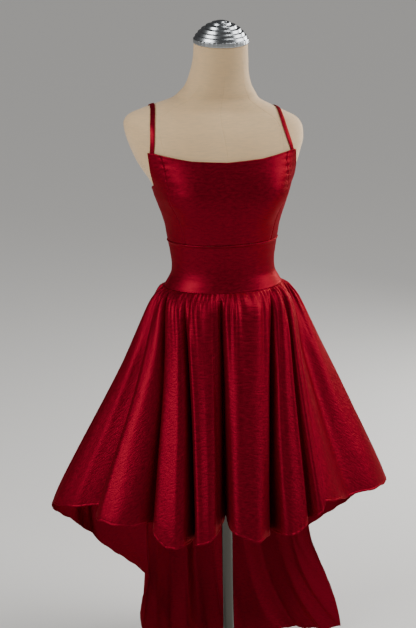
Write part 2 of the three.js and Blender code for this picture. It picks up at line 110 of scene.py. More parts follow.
CAMERA_AZIMUTH, CAMERA_PITCH, CAMERA_ROLL = math.radians(-10), math.radians(15.7), math.radians(-1.1)
CAMERA_REACH, CAMERA_AIM, CAMERA_SIDESTEP = 2.86, 0.9, 0.0345  # metres: distance, aimed height, shift left
looking = Vector((-math.sin(CAMERA_AZIMUTH) * math.cos(CAMERA_PITCH),
                  math.cos(CAMERA_AZIMUTH) * math.cos(CAMERA_PITCH), -math.sin(CAMERA_PITCH)))
level_right = looking.cross(Vector((0, 0, 1))).normalized()
level_up = level_right.cross(looking)
right = math.cos(CAMERA_ROLL) * level_right + math.sin(CAMERA_ROLL) * level_up
up = math.cos(CAMERA_ROLL) * level_up - math.sin(CAMERA_ROLL) * level_right
lens = bpy.data.cameras.new("camera")
lens.sensor_width = 36
lens.lens = 74.5
camera = bpy.data.objects.new("camera", lens)
camera_turn = Matrix((right, up, -looking)).transposed().to_4x4()
aim = Vector((0, 0, CAMERA_AIM)) - CAMERA_SIDESTEP * level_right
camera.matrix_world = Matrix.Translation(aim - CAMERA_REACH * looking) @ camera_turn
bpy.context.scene.collection.objects.link(camera)
bpy.context.scene.camera = camera


# ---- Stand: base plate and pole ----
# A round steel plate with a turned collar, and a drawn steel tube that carries the form. Both are polished,
# and their colour is darkened as a painted dark reflection, so they mirror the room softly.
MM = 0.001


def put_mesh(name, points, faces, material, uv=None):
    """Makes an object of points in millimetres and lists of corners, smooth shaded, at the origin. uv holds
    one pair for each point."""
    mesh = bpy.data.meshes.new(name)
    mesh.from_pydata((np.asarray(points) * MM).tolist(), [], faces)
    mesh.polygons.foreach_set("use_smooth", np.ones(len(mesh.polygons), bool))
    if uv is not None:
        corner = np.empty(len(mesh.loops), int)
        mesh.loops.foreach_get("vertex_index", corner)
        layer = mesh.uv_layers.new(name="cut")
        layer.data.foreach_set("uv", np.asarray(uv)[corner].ravel())
    mesh.materials.append(material)
    piece = bpy.data.objects.new(name, mesh)
    bpy.context.scene.collection.objects.link(piece)
    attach(piece, "root")
    return piece


def grid_faces(rows, columns, closed=False):
    """Quads of a grid of points, row by row. closed joins the last column to the first."""
    r, c = np.meshgrid(np.arange(rows - 1), np.arange(columns if closed else columns - 1), indexing="ij")
    here, beside = r * columns + c, r * columns + (c + 1) % columns
    return np.stack([here, here + columns, beside + columns, beside], -1).reshape(-1, 4).tolist()


def fan_faces(middle, ring):
    """Triangles from a middle point to each pair of neighbours on a closed ring, in the ring's direction."""
    return np.stack([np.full(len(ring), middle), ring, np.roll(ring, -1)], -1).tolist()


def turned_piece(name, profile, around, material, facets=None):
    """Revolves a profile of (radius, height) about +Z: x = r sin a, y = -r cos a. The profile runs from the
    axis at the bottom to the axis at the top, and its two ends become one point each. facets gives a factor
    on the radius at a height and angle."""
    profile = np.array(profile, float)
    radius, height = profile[1:-1, 0], profile[1:-1, 1]
    a = np.linspace(0, 2 * math.pi, around, endpoint=False)
    factor = np.ones((len(radius), around)) if facets is None else facets(height[:, None], a[None, :])
    reach = radius[:, None] * factor
    level = np.broadcast_to(height[:, None], reach.shape)
    points = np.stack([reach * np.sin(a), -reach * np.cos(a), level], -1)[::-1].reshape(-1, 3)
    top, bottom = len(points), len(points) + 1
    points = np.vstack([points, [0, 0, profile[-1, 1]], [0, 0, profile[0, 1]]])
    top_ring = np.arange(around)
    bottom_ring = top_ring + (len(radius) - 1) * around
    faces = grid_faces(len(radius), around, closed=True)
    faces += fan_faces(top, top_ring) + fan_faces(bottom, bottom_ring[::-1])
    return put_mesh(name, points, faces, material)


def softened(corners, radius=1.0, steps=4):
    """A profile whose corners are rounded: near each corner the line follows a quadratic curve that leaves
    and joins the straight runs at the given distance, or at 0.45 of a run that is too short for it."""
    corners = np.array(corners, float)
    out = [corners[0]]
    for before, corner, after in zip(corners[:-2], corners[1:-1], corners[2:]):
        back, ahead = before - corner, after - corner
        reach_back = min(radius, np.linalg.norm(back) * 0.45)
        reach_ahead = min(radius, np.linalg.norm(ahead) * 0.45)
        start = corner + back / np.linalg.norm(back) * reach_back
        end = corner + ahead / np.linalg.norm(ahead) * reach_ahead
        for t in np.linspace(0, 1, steps + 1):
            out.append((1 - t) ** 2 * start + 2 * t * (1 - t) * corner + t ** 2 * end)
    out.append(corners[-1])
    return np.array(out)


def add_node(material, kind, settings=None, **links):
    """Adds one node to a material. settings go to its own properties or, where it has none of that name, to
    its sockets. links join sockets to (node, output) pairs: a name stands for the socket of that name, and
    _6 for the seventh socket, on a node where several share a name."""
    node = material.node_tree.nodes.new(kind)
    for name, value in (settings or {}).items():
        if hasattr(node, name):
            setattr(node, name, value)
        else:
            node.inputs[name].default_value = value
    for name, (source, output) in links.items():
        socket = node.inputs[int(name[1:])] if name[0] == "_" else node.inputs[name]
        material.node_tree.links.new(source.outputs[output], socket)
    return node


# Polished steel whose dark base colour is a painted dark reflection: a hard mirror with faint turning marks
# that run round the piece.
steel, shader = new_material("polished_steel_painted_dark_reflection")
shader.inputs["Base Color"].default_value = from_hex("#4c4a46")
shader.inputs["Metallic"].default_value = 1.0
place = add_node(steel, "ShaderNodeTexCoord")
stretch = add_node(steel, "ShaderNodeMapping", {"Scale": (30.0, 30.0, 900.0)}, Vector=(place, "Object"))
marks = add_node(steel, "ShaderNodeTexNoise", {"Scale": 1.0, "Detail": 3.0}, Vector=(stretch, "Vector"))
rough = add_node(steel, "ShaderNodeMapRange", {"To Min": 0.14, "To Max": 0.3}, Value=(marks, "Fac"))
steel.node_tree.links.new(rough.outputs["Result"], shader.inputs["Roughness"])

base_high = np.array(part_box("stand_base")[1]) / MM
BASE_RADIUS, COLLAR_TOP = base_high[0], base_high[2]
BASE_EDGE, BASE_CROWN, COLLAR_RADIUS, BEVEL = 5.0, 12.0, 21.0, 2
base_profile = softened([
    (0, 0), (BASE_RADIUS - BEVEL, 0), (BASE_RADIUS, BEVEL), (BASE_RADIUS, BASE_EDGE),
    (BASE_RADIUS - 6, BASE_EDGE + 3), (COLLAR_RADIUS + 8, BASE_CROWN), (COLLAR_RADIUS, BASE_CROWN + 5),
    (COLLAR_RADIUS, COLLAR_TOP - BEVEL), (COLLAR_RADIUS - BEVEL, COLLAR_TOP), (0, COLLAR_TOP)], radius=1.6)
base = turned_piece("base_plate", base_profile, 160, steel)
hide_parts("stand_base")

pole_low, pole_high = (np.array(corner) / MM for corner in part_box("stand_pole"))
POLE_RADIUS, POLE_FOOT, POLE_TOP = pole_high[0], pole_low[2], pole_high[2]
pole_profile = softened([(0, POLE_FOOT), (POLE_RADIUS, POLE_FOOT), (POLE_RADIUS, POLE_TOP * 0.5),
                         (POLE_RADIUS, POLE_TOP), (0, POLE_TOP)], radius=0.8)
pole = turned_piece("pole_tube", pole_profile, 64, steel)
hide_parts("stand_pole")


# ---- Dress form ----
# A limbless torso with a neck, moulded in foam and covered in beige linen. The cover is sewn from long
# panels whose seams run down the front, the bust, the sides and the back, and is glued underneath.
FORM_SECTIONS = np.array([
    # height, half width, depth in front, depth behind, shift of the middle back, shift to the side
    (820, 132, 88, 92, 0, 0),
    (828, 143, 97, 101, 0, 0),
    (850, 149, 102, 107, 0, 0),
    (890, 147, 102, 107, 0, 0),
    (930, 138, 99, 101, 0, 0),
    (972, 124.5, 94, 93, 0, 0),
    (998, 111, 88, 85, 0, 0),
    (1021, 108.5, 86, 81, 0, 0),
    (1045, 111, 88, 81, 0, 0),
    (1075, 116, 94, 84, 0, 0),
    (1110, 122, 101, 89, 0, 0),
    (1140, 131, 107, 94, 0, 0),
    (1170, 141, 111, 98, 2, 0),
    (1197, 150, 112, 99, 5, 0),
    (1219, 162, 114, 97, 9, -2),
    (1240, 173, 115, 93, 13, -4),
    (1262, 182, 114, 89, 16, -6),
    (1285, 190, 110, 82, 19, -8),
    (1305, 193, 103, 75, 22, -10),
    (1320, 191, 94, 66, 24, -11),
    (1334, 179, 82, 57, 24, -11),
    (1346, 153, 72, 52, 23, -10),
    (1359, 120, 66, 49, 20, -8),
    (1371, 93, 62, 50, 16, -6),
    (1384, 81, 60, 53, 11, -4),
    (1398, 71, 58, 55, 6, -3),
    (1421, 63, 57, 57, 0, -2),
    (1452, 58, 56, 56, -8, 0),
    (1486, 56, 55, 55, -15, 0),
])
FORM_FOOT, NECK_FOOT, NECK_TOP = 820, 1384, 1486
NECK_LEAN, SHOULDER_TILT = math.radians(8), math.radians(3)
TILT_STARTS, TILT_FULL, TILT_FADES, TILT_ENDS = 1240, 1310, 1350, 1430
BUST_RISE, BUST_ANGLE, BUST_HEIGHT, BUST_SPREAD, BUST_TALL = 17, 37, 1180, 17, 40


def through(xs, ys, x):
    """Smooth curve through points: on each stretch a cubic whose end slopes come from the two neighbours."""
    x = np.asarray(x, float)
    j = np.arange(len(xs))
    low, high = np.maximum(j - 1, 0), np.minimum(j + 1, len(xs) - 1)
    slope = (ys[high] - ys[low]) / (xs[high] - xs[low])
    i = np.clip(np.searchsorted(xs, x, "right") - 1, 0, len(xs) - 2)
    width = xs[i + 1] - xs[i]
    t = np.clip((x - xs[i]) / width, 0, 1)
    return ((2 * t ** 3 - 3 * t ** 2 + 1) * ys[i] + (t ** 3 - 2 * t ** 2 + t) * width * slope[i]
            + (3 * t ** 2 - 2 * t ** 3) * ys[i + 1] + (t ** 3 - t ** 2) * width * slope[i + 1])


def ease(x, start, end):
    """Smooth step from 0 at start to 1 at end: 3t^2 - 2t^3."""
    t = np.clip((x - start) / (end - start), 0, 1)
    return t * t * (3 - 2 * t)


def bell(distance, width):
    """1 where the distance is 0, and nearly 0 past two widths: exp(-(distance / width)^2)."""
    return np.exp(-(distance / width) ** 2)


def form_skin(angle, z):
    """Skin of the form. At each height the section is two half ellipses, x = w sin a and y = -d cos a, with
    bell shaped swellings for the bust, a neck that leans forward and shoulders that stand unlevel."""
    angle, z = np.broadcast_arrays(np.asarray(angle, float), np.asarray(z, float))
    sizes = (through(FORM_SECTIONS[:, 0], FORM_SECTIONS[:, k], z) for k in range(1, 6))
    half, front, back, shift, side = sizes
    a = np.radians(angle)
    from_front = np.abs((angle + 180) % 360 - 180)
    bust = BUST_RISE * np.exp(-0.5 * ((from_front - BUST_ANGLE) / BUST_SPREAD) ** 2
                              - 0.5 * ((z - BUST_HEIGHT) / BUST_TALL) ** 2)
    x = (half + bust) * np.sin(a)
    y = -(np.where(np.cos(a) > 0, front, back) + bust) * np.cos(a)
    leaning = ease(z, NECK_FOOT, NECK_TOP) * math.tan(NECK_LEAN)
    tilting = (ease(z, TILT_STARTS, TILT_FULL) - ease(z, TILT_FADES, TILT_ENDS)) * math.tan(SHOULDER_TILT)
    return np.stack([x + side, y + shift, z + y * leaning - x * tilting], -1)


def unit(v):
    """Vectors of length 1 in the same directions."""
    return v / np.linalg.norm(v, axis=-1, keepdims=True)


def over_form(angle, z, lift):
    """The skin moved out by lift along its normal, which is the cross product of its two slopes."""
    step = 0.05  # degrees round the form and millimetres up it
    down = form_skin(angle, np.asarray(z) - step) - form_skin(angle, np.asarray(z) + step)
    round_ = form_skin(np.asarray(angle) + step, z) - form_skin(np.asarray(angle) - step, z)
    return form_skin(angle, z) + unit(np.cross(down, round_)) * np.asarray(lift)[..., None]


# Linen: matt plain-woven yarn whose threads cross in a fine grid. It is drawn 1.8 mm apart, twice as coarse
# as the real cloth, so that it shows. Slubs, thick places in the yarn, make the tone a little uneven.
linen, shader = new_material("plain_woven_linen")
shader.inputs["Roughness"].default_value = 0.85
shader.inputs["Sheen Weight"].default_value = 0.2
shader.inputs["Specular IOR Level"].default_value = 0.25
THREAD_PITCH = 0.0018
WAVE_PERIOD = 0.31416  # the wave node's own, 2 pi / 20
threads = {"Scale": WAVE_PERIOD / THREAD_PITCH, "Distortion": 0.8, "Detail": 1.0}
place = add_node(linen, "ShaderNodeTexCoord")
patches = add_node(linen, "ShaderNodeTexNoise", {"Scale": 9.0, "Detail": 5.0}, Vector=(place, "Object"))
slub_stretch = add_node(linen, "ShaderNodeMapping", {"Scale": (60.0, 60.0, 420.0)}, Vector=(place, "Object"))
slubs = add_node(linen, "ShaderNodeTexNoise", {"Scale": 1.0, "Detail": 4.0}, Vector=(slub_stretch, "Vector"))
tone = add_node(linen, "ShaderNodeMix", {"data_type": "RGBA"}, Factor=(patches, "Fac"))
tone.inputs[6].default_value = from_hex("#ba9b72")
tone.inputs[7].default_value = from_hex("#d3b389")
fleck = add_node(linen, "ShaderNodeMapRange",
                 {"From Min": 0.35, "From Max": 0.7, "To Min": 0.0, "To Max": 0.35}, Value=(slubs, "Fac"))
yarn = add_node(linen, "ShaderNodeMix", {"data_type": "RGBA"}, Factor=(fleck, "Result"), _6=(tone, 2))
yarn.inputs[7].default_value = from_hex("#a39478")
linen.node_tree.links.new(yarn.outputs[2], shader.inputs["Base Color"])
weft = add_node(linen, "ShaderNodeTexWave", {"bands_direction": "Z", **threads}, Vector=(place, "Object"))
warp = add_node(linen, "ShaderNodeTexWave", {"bands_direction": "X", **threads}, Vector=(place, "Object"))
cloth_grid = add_node(linen, "ShaderNodeMath", {"operation": "ADD"}, _0=(weft, "Fac"), _1=(warp, "Fac"))
bump = add_node(linen, "ShaderNodeBump", {"Strength": 0.35, "Distance": 0.0004},
                Height=(cloth_grid, "Value"))
linen.node_tree.links.new(bump.outputs["Normal"], shader.inputs["Normal"])

SEAM_ANGLES, SEAM_DIP, SEAM_WIDTH = (0, 42, 90, 138, 180, 222, 270, 318), 0.6, 0.35  # degrees, mm, degrees
SEAM_FADES, SEAM_FAINT, FAINT_SHARE = 1360, 1430, 0.3  # a seam is shallower on the neck
BESIDE_SEAM = np.array([-0.9, -0.5, -0.25, 0, 0.25, 0.5, 0.9])
around = np.concatenate([np.arange(0, 360, 2.25)] + [angle + BESIDE_SEAM for angle in SEAM_ANGLES])
around = np.unique(around % 360)
# Stretches of height and their rows, which lie closest over the shoulders, where the skin turns fastest.
STRETCHES = [(FORM_FOOT, 860, 14), (860, 1240, 46), (1240, 1430, 96), (1430, NECK_TOP, 22)]
heights = np.unique(np.concatenate([np.linspace(*stretch) for stretch in STRETCHES]))
angle_grid, z_grid = np.meshgrid(around, heights[::-1])
seam_dip = sum(bell((angle_grid - angle + 180) % 360 - 180, SEAM_WIDTH) for angle in SEAM_ANGLES)
seam_dip = seam_dip * (1 - (1 - FAINT_SHARE) * ease(z_grid, SEAM_FADES, SEAM_FAINT))
form_points = over_form(angle_grid, z_grid, -SEAM_DIP * seam_dip).reshape(-1, 3)
rows, columns = angle_grid.shape
form_faces = grid_faces(rows, columns, closed=True)
top_ring = np.arange(columns)
foot_ring = top_ring + (rows - 1) * columns
for ring in (top_ring, foot_ring[::-1]):
    form_faces += fan_faces(len(form_points), ring)
    form_points = np.vstack([form_points, form_points[ring].mean(0)])
form = put_mesh("linen_torso", form_points, form_faces, linen)
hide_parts("form_torso")


# ---- Neck cap ----
# A spun and chromed cap that closes the neck: a rim with small upright facets, and round tiers stepping up
# to a button. It leans forward with the neck.

# Bright chrome plate: a neutral mirror, hazed a little by handling, so its reflections are soft.
chrome, shader = new_material("bright_chrome_plate")
shader.inputs["Base Color"].default_value = from_hex("#a6a9ab")
shader.inputs["Metallic"].default_value = 1.0
place = add_node(chrome, "ShaderNodeTexCoord")
haze = add_node(chrome, "ShaderNodeTexNoise", {"Scale": 60.0, "Detail": 3.0}, Vector=(place, "Object"))
rough = add_node(chrome, "ShaderNodeMapRange", {"To Min": 0.22, "To Max": 0.36}, Value=(haze, "Fac"))
chrome.node_tree.links.new(rough.outputs["Result"], shader.inputs["Roughness"])

RIM_RADIUS, RIM_HEIGHT, FACETS, FACET_DIP, TIER_STEP, CAP_GAP = 57.5, 10, 40, 0.012, 2.2, 0.3
TIERS = [(53, 17), (47.5, 24), (40.5, 31), (31, 37.5), (19, 43), (10, 45.5)]  # radius, top


def rim_facets(z, a):
    """Factor on the radius: 1 - dip |sin| from ridge to ridge on the rim, and 1 on the tiers above it."""
    return 1 - FACET_DIP * (z < RIM_HEIGHT + 0.5) * np.abs(np.sin(a * FACETS / 2))


cap_profile = [(0, 0), (RIM_RADIUS - 1, 0), (RIM_RADIUS, 1.5), (RIM_RADIUS, 5), (RIM_RADIUS, RIM_HEIGHT)]
level = RIM_HEIGHT
for tier_radius, tier_top in TIERS:
    cap_profile += [(tier_radius + TIER_STEP, level), (tier_radius, tier_top)]
    level = tier_top
cap_profile.append((0, level))
cap = turned_piece("chrome_cap", softened(cap_profile, radius=1.1, steps=5), FACETS * 6, chrome, rim_facets)
neck_shift = through(FORM_SECTIONS[:, 0], FORM_SECTIONS[:, 4], NECK_TOP)
seat = Matrix.Translation((0, neck_shift * MM, (NECK_TOP + CAP_GAP) * MM))
cap.data.transform(seat @ Matrix.Rotation(NECK_LEAN, 4, "X"))
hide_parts("neck_cap")


# ---- The gown's satin ----
# Red crinkled satin: a floating warp gives a broad soft gloss, and the washed weft draws up into short fine
# wrinkles about 4 mm apart and 11 mm long. The bodice, band and straps are pulled taut, which flattens the
# wrinkles; in the hanging skirt they stand at full depth.
WRINKLE_LONG, WRINKLE_APART = 0.011, 0.0038


def crinkled_satin(name, wrinkle_strength, swell_strength):
    """One satin. Noise stretched along the weft makes the wrinkles and sets their gloss; the satin's red is
    darkened in their troughs as painted shade and brightened on their crests as a painted highlight. A
    broader noise makes the cloth swell softly."""
    satin, shader = new_material(name)
    shader.inputs["Metallic"].default_value = 0.65
    shader.inputs["Specular IOR Level"].default_value = 0.05
    shader.inputs["Specular Tint"].default_value = from_hex("#e0405a")
    shader.inputs["Sheen Weight"].default_value = 0.15
    shader.inputs["Sheen Roughness"].default_value = 0.4
    shader.inputs["Sheen Tint"].default_value = from_hex("#b01030")
    place = add_node(satin, "ShaderNodeTexCoord")
    drift = add_node(satin, "ShaderNodeTexNoise", {"Scale": 28.0, "Detail": 2.0}, Vector=(place, "UV"))
    nudge = add_node(satin, "ShaderNodeVectorMath", {"operation": "MULTIPLY_ADD"},
                     _0=(drift, "Color"), _2=(place, "UV"))
    nudge.inputs[1].default_value = (0.006, 0.012, 0.0)
    along_weft = add_node(satin, "ShaderNodeMapping", {"Scale": (1 / WRINKLE_LONG, 1 / WRINKLE_APART, 1.0)},
                          Vector=(nudge, "Vector"))
    wrinkles = add_node(satin, "ShaderNodeTexNoise", {"Scale": 1.0, "Detail": 3.5, "Roughness": 0.6},
                        Vector=(along_weft, "Vector"))
    broad = add_node(satin, "ShaderNodeTexNoise", {"Scale": 22.0, "Detail": 3.0}, Vector=(place, "UV"))
    # Painted shade and highlight: the red runs from dark in the wrinkles' troughs to bright on their crests.
    tone = add_node(satin, "ShaderNodeMix", {"data_type": "RGBA"}, Factor=(wrinkles, "Fac"))
    tone.inputs[6].default_value = from_hex("#430311")
    tone.inputs[7].default_value = from_hex("#861222")
    satin.node_tree.links.new(tone.outputs[2], shader.inputs["Base Color"])
    gloss = add_node(satin, "ShaderNodeMapRange",
                     {"From Min": 0.3, "From Max": 0.7, "To Min": 0.38, "To Max": 0.52},
                     Value=(wrinkles, "Fac"))
    satin.node_tree.links.new(gloss.outputs["Result"], shader.inputs["Roughness"])
    fine_bump = add_node(satin, "ShaderNodeBump", {"Strength": wrinkle_strength, "Distance": 0.0011},
                         Height=(wrinkles, "Fac"))
    broad_bump = add_node(satin, "ShaderNodeBump", {"Strength": swell_strength, "Distance": 0.003},
                          Height=(broad, "Fac"), Normal=(fine_bump, "Normal"))
    satin.node_tree.links.new(broad_bump.outputs["Normal"], shader.inputs["Normal"])
    return satin


taut_satin = crinkled_satin("taut_crinkled_red_satin", 0.22, 0.12)
hanging_satin = crinkled_satin("hanging_crinkled_red_satin", 0.75, 0.35)

WALL = 1.5  # one layer of satin with its seam allowances, in millimetres
BODY_EASE = 2.2
CLOTH_OUT = BODY_EASE + WALL
BAND_TOP, WAIST_SEAM = 1075, 972


def cloth_normals(points):
    """Outward normals of a grid whose rows run down the body and whose columns run round it."""
    return unit(np.cross(np.gradient(points, axis=0), np.gradient(points, axis=1)))


def sewn_cloth(name, points, relief, uv, node, held):
    """A panel of satin: grid points moved along their normals by the relief, then given a wall inwards."""
    points = points + cloth_normals(points) * relief[..., None]
    rows, columns = points.shape[:2]
    cloth = hanging_satin if held == "gathered" else taut_satin
    piece = put_mesh(name, points.reshape(-1, 3), grid_faces(rows, columns), cloth, uv.reshape(-1, 2))
    wall = piece.modifiers.new("wall", "SOLIDIFY")
    wall.thickness = WALL * MM
    wall.offset = -1
    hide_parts(node)


# ---- Bodice ----
# Five panels joined by princess, side and centre back seams, pressed open, which pucker a little where the
# cloth is eased over the bust. The top edge is faced and turned in, so it shows a soft fold and no stitches.
PRINCESS = np.array([(1075, 49.8), (1130, 52), (1180, 52), (1240, 46), (1270, 46)], float)  # height, angle
TOP_EDGE = np.array([(0, 1250), (24, 1254), (51, 1267), (57.5, 1267), (61, 1243), (67, 1219), (75, 1199),
                     (90, 1189), (130, 1187), (180, 1190)], float)  # angle, height
BODICE_LOW = BAND_TOP + 0.15
SEAM_GROOVE, GROOVE_WIDTH = 0.78, 1.8
PUCKER_PITCH, PUCKER_RISE, PUCKER_REACH = 13.0, 0.55, 8.0
PUCKERS_START, PUCKERS_FULL = 1120, 1190
HOLLOW_DEEP, HOLLOW_WIDE, HOLLOW_HEIGHT, HOLLOW_TALL = 1.6, 17.0, 1134.0, 20.0
BUST_PULL, BUST_PULL_HEIGHT, BUST_PULL_TALL = 1.6, 1170.0, 15.0
EDGE_ROLL, ROLL_DEPTH, ROLL_WIDTH = 0.5, 2, 2.0
EDGE_TURN, TURN_WIDTH = 0.7, 0.8


def princess_left(z):
    """Angle of the left princess seam at a height."""
    return through(PRINCESS[:, 0], PRINCESS[:, 1], z)


def princess_right(z):
    """The right princess seam, which mirrors the left one."""
    return -princess_left(z)


def line_at(angle):
    """A straight seam, which has the same angle at every height."""
    return lambda z: angle + 0 * z


def top_height(angle_at, u):
    """Height where the panel's line u meets the top edge, found in 24 steps of 0.6 of the way to it."""
    z = np.full(u.shape, 1230.0)
    for _ in range(24):
        z = 0.4 * z + 0.6 * np.interp(np.abs(angle_at(u, z)), TOP_EDGE[:, 0], TOP_EDGE[:, 1])
    return z


def soft_noise(a, b, seed):
    """Gentle unevenness from -1 to 1: a sum of a few sines at unrelated angles."""
    rng = np.random.default_rng(seed)
    total = 0
    for _ in range(5):
        fa, fb, shift = rng.uniform(0.6, 1.8), rng.uniform(0.6, 1.8), rng.uniform(0, 2 * math.pi)
        total = total + np.sin(fa * a + fb * b + shift)
    return total / 5


def row_lengths(points):
    """Distance along each row of a grid from its first column."""
    steps = np.linalg.norm(np.diff(points, axis=1), axis=-1)
    return np.concatenate([np.zeros((len(points), 1)), np.cumsum(steps, axis=1)], axis=1)


def body_panel(name, node, first_seam, last_seam, columns, rows, eased):
    """Surface over the form between two seams: angle = mix(first, last, u), height = mix(top, low, v). The
    relief is a groove at each seam, puckers that die away from it, a shallow hollow under the bust, a
    pulled place beside it, soft unevenness, and a roll along the turned top edge. eased says how much
    cloth is eased into each of the two seams."""
    def angle_at(u, z):
        """Angle of the panel's line u at a height."""
        return first_seam(z) + (last_seam(z) - first_seam(z)) * u

    closer_at_seams = 0.5 - 0.5 * np.cos(np.linspace(0, math.pi, columns))
    u = 0.6 * closer_at_seams + 0.4 * np.linspace(0, 1, columns)
    v = np.linspace(0, 1, rows) ** 1.15
    top = top_height(angle_at, u)
    z = top + (BODICE_LOW - top) * v[:, None]
    angle = angle_at(u[None, :], z)
    points = over_form(angle, z, CLOTH_OUT)
    to_first = row_lengths(points)
    width = to_first[:, -1:]
    to_last = width - to_first
    relief = -SEAM_GROOVE * (bell(to_first, GROOVE_WIDTH) + bell(to_last, GROOVE_WIDTH))
    wave = np.sin(2 * math.pi * z / PUCKER_PITCH + 1.3 * np.sin(z / 23))
    puckered = eased[0] * np.exp(-to_first / PUCKER_REACH) + eased[1] * np.exp(-to_last / PUCKER_REACH)
    relief = relief + PUCKER_RISE * wave * ease(z, PUCKERS_START, PUCKERS_FULL) * puckered
    near_seams = eased[0] * bell(to_first, HOLLOW_WIDE) + eased[1] * bell(to_last, HOLLOW_WIDE)
    relief = relief - HOLLOW_DEEP * near_seams * bell(z - HOLLOW_HEIGHT, HOLLOW_TALL)
    relief = relief + BUST_PULL * near_seams * bell(z - BUST_PULL_HEIGHT, BUST_PULL_TALL)
    relief = relief + 0.45 * soft_noise(angle / 9, z / 26, 3) + 0.3 * soft_noise(angle / 22, z / 7, 5)
    depth = top - z
    relief = relief + EDGE_ROLL * bell(depth - ROLL_DEPTH, ROLL_WIDTH) - EDGE_TURN * bell(depth, TURN_WIDTH)
    middle = width.mean() / 2
    uv = np.stack([(to_first - width / 2 + middle) * MM, (z - BODICE_LOW) * MM], -1)
    sewn_cloth(name, points, relief, uv, node, "stretched")


body_panel("bodice_centre", "bodice_front_centre", princess_right, princess_left, 130, 110,
           (1, 1))
body_panel("bodice_side_right", "bodice_front_side_right", line_at(-90), princess_right, 84, 110,
           (0, 0.9))
body_panel("bodice_side_left", "bodice_front_side_left", princess_left, line_at(90), 84, 110,
           (0.9, 0))
body_panel("bodice_rear_left", "bodice_back_left", line_at(90), line_at(180), 110, 80,
           (0.2, 0.5))
body_panel("bodice_rear_right", "bodice_back_right", line_at(-180), line_at(-90), 110, 80,
           (0.5, 0.2))


# ---- Waist band ----
# A plain shaped band in three pieces. Its top edge is sewn over the bodice, so the turned edge stands proud
# and catches the light as a fine line; the skirt is sewn under its lower edge.
BAND_HIGH, BAND_LOW = BAND_TOP + 0.3, WAIST_SEAM - 1.2
TURNED_EDGE_RISE, TURNED_EDGE_WIDTH = 1.9, 2.2
LOWER_EDGE_RISE, LOWER_EDGE_WIDTH = 1.0, 3.0
BAND_SEAM_DIP, BAND_SEAM_WIDTH = 1.0, 1.6


def band_panel(name, node, start, end, columns):
    """Surface over the form between two angles. Its turned upper edge is a narrow bell whose top lies one
    width down, its lower edge a wider one; each end dips into its seam, and soft level creases cross it."""
    angle, v = np.meshgrid(np.linspace(start, end, columns), np.linspace(0, 1, 64))
    v = 0.5 * v + 0.5 * (0.5 - 0.5 * np.cos(math.pi * v))
    z = BAND_HIGH + (BAND_LOW - BAND_HIGH) * v
    points = over_form(angle, z, CLOTH_OUT)
    run = row_lengths(points)
    to_end = run[:, -1:] - run
    relief = TURNED_EDGE_RISE * bell(BAND_HIGH - z - TURNED_EDGE_WIDTH, TURNED_EDGE_WIDTH)
    relief = relief + LOWER_EDGE_RISE * bell(z - BAND_LOW, LOWER_EDGE_WIDTH)
    relief = relief - BAND_SEAM_DIP * (bell(run, BAND_SEAM_WIDTH) + bell(to_end, BAND_SEAM_WIDTH))
    relief = relief + 0.5 * soft_noise(angle / 14, z / 16, 11) + 0.4 * soft_noise(angle / 30, z / 5, 12)
    uv = np.stack([run * MM, (z - BAND_LOW) * MM], -1)
    sewn_cloth(name, points, relief, uv, node, "stretched")


band_panel("waist_band_front", "band_front", -90, 90, 190)
band_panel("waist_band_rear_left", "band_back_left", 90, 180, 100)
band_panel("waist_band_rear_right", "band_back_right", 180, 270, 100)


# ---- Shoulder straps ----
# Two narrow strips of the same satin, folded in three and stitched along both edges. They are sewn inside
# the bodice's top edge, cross the shoulders and come down to the back.
STRAP_WIDTH, STRAP_THICK, STRAP_EASE, STRAP_END_EASE, STRAP_TUCK = 10.5, 1.6, 0.9, 0.25, 7.0
STRAP_FRONT_X, STRAP_FRONT_Z = 149, 1267
STRAP_BACK_X, STRAP_BACK_Z, STRAP_RIDGE_Z = 104, 1187.5, 1353.5
STITCH_DIP, STITCH_WIDTH, STITCH_PLACE = 0.25, 0.6, 0.36  # the last as a share of the strap's width


def form_half_width(z):
    """The form's half width at a height, without the bust."""
    return through(FORM_SECTIONS[:, 0], FORM_SECTIONS[:, 1], z)


def strap_climb(foot_x, edge_z):
    """Angles and heights from the strap's sewn end to the ridge of the shoulder. Its distance from the
    middle changes slowly as it climbs: angle = asin(x / half width) at each height."""
    t = np.sin(np.linspace(0, 1, 70) * math.pi / 2) ** 0.8
    foot_z = edge_z - STRAP_TUCK
    z = foot_z + (STRAP_RIDGE_Z - foot_z) * t
    x = foot_x + (form_half_width(STRAP_RIDGE_Z) - foot_x) * t
    return np.degrees(np.arcsin(np.minimum(1, x / form_half_width(z)))), z


